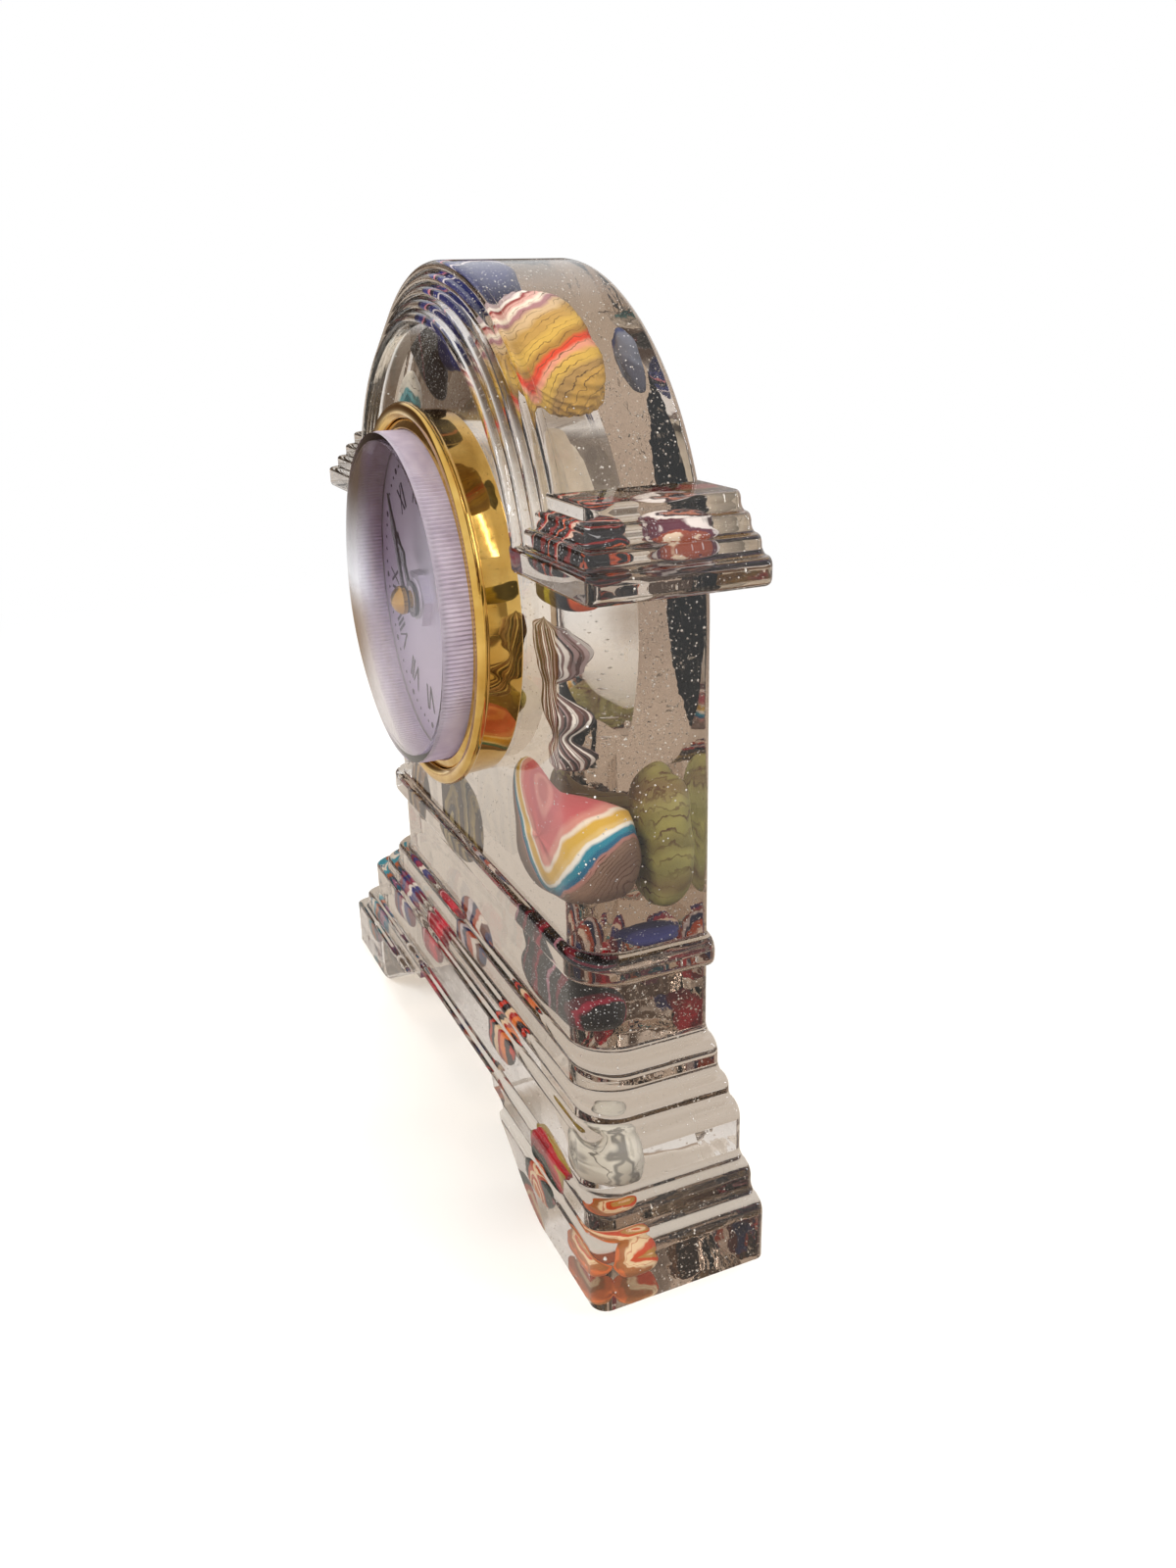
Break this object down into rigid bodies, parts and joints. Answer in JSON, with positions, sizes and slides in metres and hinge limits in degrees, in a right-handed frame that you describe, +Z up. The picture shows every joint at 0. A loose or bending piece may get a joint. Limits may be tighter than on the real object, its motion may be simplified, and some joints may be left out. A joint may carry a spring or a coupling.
{
  "type": "mantel clock",
  "caption": "Clear cast-resin mantel clock with a ribbed round top, stepped cornice and plinth, swirled coloured chips cast in and a gold-rimmed push-in quartz insert.",
  "frame": {"origin": "centre of the bounding box, at the bottom of the feet", "axes": "+Z up, -Y towards the viewer of the dial, +X to that viewer's right"},
  "size_m": [0.1544, 0.0424, 0.1676],
  "materials": {
    "clear_resin": "clear, faintly warm cast resin with fine bubbles",
    "gold_plated_brass": "polished gold plate",
    "lens_acrylic": "clear domed lens with a reeded wall",
    "white_plastic": "moulded, cream-white",
    "white_rubber": "matt, cream-white",
    "silver_dial": "satin",
    "dial_print": "printed ink",
    "black_hands": "gloss black",
    "white_acetal": "moulded",
    "brass_turned": "turned",
    "grey_plastic": "moulded",
    "black_plastic": "moulded",
    "magnet": "sintered magnet on a moulded pinion",
    "steel": "satin",
    "copper_winding": "enamelled winding",
    "board_laminate": "solder mask",
    "cell_steel": "plated",
    "banded_chip_clay": "swirled coloured clay cast into the resin",
    "navy_chip_clay": "swirled coloured clay cast into the resin",
    "black_chip_clay": "swirled coloured clay cast into the resin",
    "teal_chip_clay": "swirled coloured clay cast into the resin",
    "back_navy_chip_clay": "swirled coloured clay cast into the resin",
    "twisted_ribbon_clay": "swirled coloured clay cast into the resin",
    "rainbow_chip_clay": "swirled coloured clay cast into the resin",
    "olive_chip_clay": "swirled coloured clay cast into the resin",
    "cornice_red_chip_clay": "swirled coloured clay cast into the resin",
    "cornice_orange_chip_clay": "swirled coloured clay cast into the resin",
    "lower_cornice_chip_clay": "swirled coloured clay cast into the resin",
    "navy_strip_clay": "swirled coloured clay cast into the resin",
    "pointed_chip_clay": "swirled coloured clay cast into the resin",
    "ringed_chip_clay": "swirled coloured clay cast into the resin",
    "brown_chip_clay": "swirled coloured clay cast into the resin",
    "rust_chip_clay": "swirled coloured clay cast into the resin",
    "crimson_chip_clay": "swirled coloured clay cast into the resin",
    "left_foot_chip_clay": "swirled coloured clay cast into the resin",
    "left_die_chip_clay": "swirled coloured clay cast into the resin",
    "middle_red_chip_clay": "swirled coloured clay cast into the resin",
    "cream_chip_clay": "swirled coloured clay cast into the resin",
    "foot_swirl_chip_clay": "swirled coloured clay cast into the resin",
    "orange_foot_chip_clay": "swirled coloured clay cast into the resin"
  },
  "bodies": {
    "case": {"resin_case": "clear_resin", "banded_chip": "banded_chip_clay", "navy_chip": "navy_chip_clay", "black_chip": "black_chip_clay", "teal_chip": "teal_chip_clay", "back_navy_chip": "back_navy_chip_clay", "twisted_ribbon": "twisted_ribbon_clay", "rainbow_chip": "rainbow_chip_clay", "olive_chip": "olive_chip_clay", "cornice_red_chip": "cornice_red_chip_clay", "cornice_orange_chip": "cornice_orange_chip_clay", "lower_cornice_chip": "lower_cornice_chip_clay", "navy_strip": "navy_strip_clay", "pointed_chip": "pointed_chip_clay", "ringed_chip": "ringed_chip_clay", "brown_chip": "brown_chip_clay", "rust_chip": "rust_chip_clay", "crimson_chip": "crimson_chip_clay", "left_foot_chip": "left_foot_chip_clay", "left_die_chip": "left_die_chip_clay", "middle_red_chip": "middle_red_chip_clay", "cream_chip": "cream_chip_clay", "foot_swirl_chip": "foot_swirl_chip_clay", "orange_foot_chip": "orange_foot_chip_clay"},
    "insert": {"bezel": "gold_plated_brass", "lens_ring": "gold_plated_brass", "lens": "lens_acrylic", "neck_cup": "white_plastic", "rubber_ring": "white_rubber", "dial": "silver_dial", "dial_numerals": "dial_print", "minute_dots": "dial_print", "hand_nut": "brass_turned", "front_plate": "grey_plastic", "housing_ring": "grey_plastic", "stator": "steel", "coil": "copper_winding", "pivot_plate": "grey_plastic", "circuit_board": "board_laminate", "quartz_crystal": "steel", "driver_blob": "black_plastic", "button_cell": "cell_steel", "cell_contact": "brass_turned", "cell_clip": "brass_turned", "rear_cover": "white_plastic", "housing_screws": "steel"},
    "minute": {"minute_hand": "black_hands", "cannon_pinion": "brass_turned", "hand_cap": "gold_plated_brass"},
    "hour": {"hour_hand": "black_hands", "hour_wheel": "white_acetal"},
    "motion": {"motion_wheel": "white_acetal"},
    "knob": {"setting_knob": "white_plastic"},
    "centre": {"centre_wheel": "brass_turned"},
    "third": {"third_wheel": "white_acetal"},
    "seconds": {"seconds_wheel": "white_acetal"},
    "fifth": {"fifth_wheel": "white_acetal"},
    "rotor": {"rotor": "magnet"}
  },
  "joints": [
    {"name": "insert_slide", "type": "slide", "parent": "case", "child": "insert", "axis": [0, -1, 0], "range_m": [0, 0.03]},
    {"name": "minute_turn", "type": "hinge", "parent": "insert", "child": "minute", "pos_m": [0, -0.0129, 0.108], "axis": [0, 1, 0], "continuous": true},
    {"name": "hour_turn", "type": "hinge", "parent": "insert", "child": "hour", "pos_m": [0, -0.0116, 0.108], "axis": [0, 1, 0], "continuous": true},
    {"name": "motion_turn", "type": "hinge", "parent": "insert", "child": "motion", "pos_m": [0.0036, -0.0046, 0.11424], "axis": [0, 1, 0], "continuous": true},
    {"name": "knob_turn", "type": "hinge", "parent": "insert", "child": "knob", "pos_m": [0.0072, -0.0046, 0.12047], "axis": [0, 1, 0], "continuous": true},
    {"name": "centre_turn", "type": "hinge", "parent": "insert", "child": "centre", "pos_m": [0, -0.0012, 0.108], "axis": [0, 1, 0], "continuous": true},
    {"name": "third_turn", "type": "hinge", "parent": "insert", "child": "third", "pos_m": [-0.01057, -0.0006, 0.10415], "axis": [0, 1, 0], "continuous": true},
    {"name": "seconds_turn", "type": "hinge", "parent": "insert", "child": "seconds", "pos_m": [-0.01057, 0.0009, 0.09565], "axis": [0, 1, 0], "continuous": true},
    {"name": "fifth_turn", "type": "hinge", "parent": "insert", "child": "fifth", "pos_m": [-0.00368, 0.0019, 0.09444], "axis": [0, 1, 0], "continuous": true},
    {"name": "rotor_turn", "type": "hinge", "parent": "insert", "child": "rotor", "pos_m": [0.0028, 0.0029, 0.09444], "axis": [0, 1, 0], "continuous": true}
  ],
  "couplings": [
    {"joint": "hour_turn", "follows": "minute_turn", "ratio": 0.083333},
    {"joint": "motion_turn", "follows": "minute_turn", "ratio": -0.33333},
    {"joint": "knob_turn", "follows": "minute_turn", "ratio": 1},
    {"joint": "fifth_turn", "follows": "rotor_turn", "ratio": -0.2},
    {"joint": "seconds_turn", "follows": "rotor_turn", "ratio": 0.033333},
    {"joint": "third_turn", "follows": "rotor_turn", "ratio": -0.0044444},
    {"joint": "centre_turn", "follows": "rotor_turn", "ratio": 0.00055556}
  ]
}
